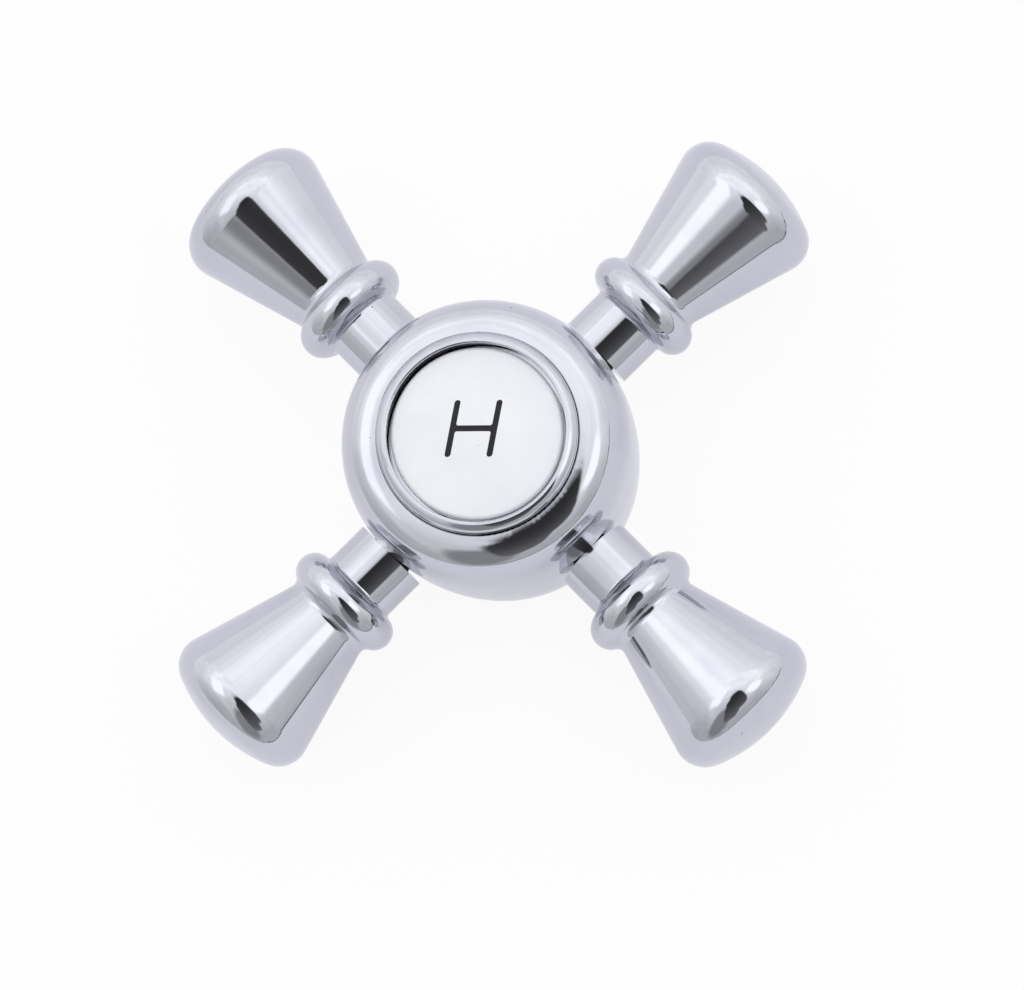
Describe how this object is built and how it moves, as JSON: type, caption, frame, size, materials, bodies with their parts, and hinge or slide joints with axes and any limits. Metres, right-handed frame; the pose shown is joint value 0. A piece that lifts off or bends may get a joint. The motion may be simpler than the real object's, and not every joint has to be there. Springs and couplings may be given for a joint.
{
  "type": "cross handle tap handle",
  "caption": "Chrome cross handle for a tap: round hub with a white index disc in a screwed bezel cap, beaded arms with flared knobs, and a splined bush for the spindle.",
  "frame": {"origin": "centre of the hub's bottom rim, on the spindle's axis", "axes": "+Z along the spindle's axis from the valve towards the index disc; the arms lie at 45 degrees to X and Y; +Y is the top of the index word"},
  "size_m": [0.067, 0.067, 0.0238],
  "materials": {
    "chrome_plated_brass": "polished chrome plate",
    "glazed_ceramic": "glazed",
    "bare_brass": "turned",
    "stainless_steel": "satin",
    "nitrile_rubber": "matt",
    "adhesive_foam": "matt"
  },
  "bodies": {
    "handle": {"hub_body": "chrome_plated_brass", "arm_upper_right": "chrome_plated_brass", "arm_upper_left": "chrome_plated_brass", "arm_lower_left": "chrome_plated_brass", "arm_lower_right": "chrome_plated_brass", "arm_stud_upper_right": "bare_brass", "arm_stud_upper_left": "bare_brass", "arm_stud_lower_left": "bare_brass", "arm_stud_lower_right": "bare_brass", "spline_bush": "bare_brass"},
    "cap_seal": {"cap_o_ring": "nitrile_rubber"},
    "index_cap": {"index_cap": "chrome_plated_brass", "disc_pad": "adhesive_foam", "index_disc": "glazed_ceramic"},
    "screw_washers": {"flat_washer": "stainless_steel", "spring_washer": "stainless_steel"},
    "handle_screw": {"handle_screw": "stainless_steel"}
  },
  "joints": [
    {"name": "cap_rise", "type": "slide", "parent": "handle", "child": "cap_seal", "axis": [0, 0, 1], "range_m": [0, 0.003]},
    {"name": "cap_turn", "type": "hinge", "parent": "cap_seal", "child": "index_cap", "pos_m": [0, 0, 0.0196], "axis": [0, 0, 1], "range_deg": [0, 1080]},
    {"name": "screw_rise", "type": "slide", "parent": "handle", "child": "screw_washers", "axis": [0, 0, 1], "range_m": [0, 0.0021]},
    {"name": "screw_turn", "type": "hinge", "parent": "screw_washers", "child": "handle_screw", "pos_m": [0, 0, 0.0147], "axis": [0, 0, 1], "range_deg": [0, 1080]}
  ],
  "couplings": [
    {"joint": "cap_turn", "follows": "cap_rise", "rad_per_m": 6283.2},
    {"joint": "screw_turn", "follows": "screw_rise", "rad_per_m": 8976}
  ]
}
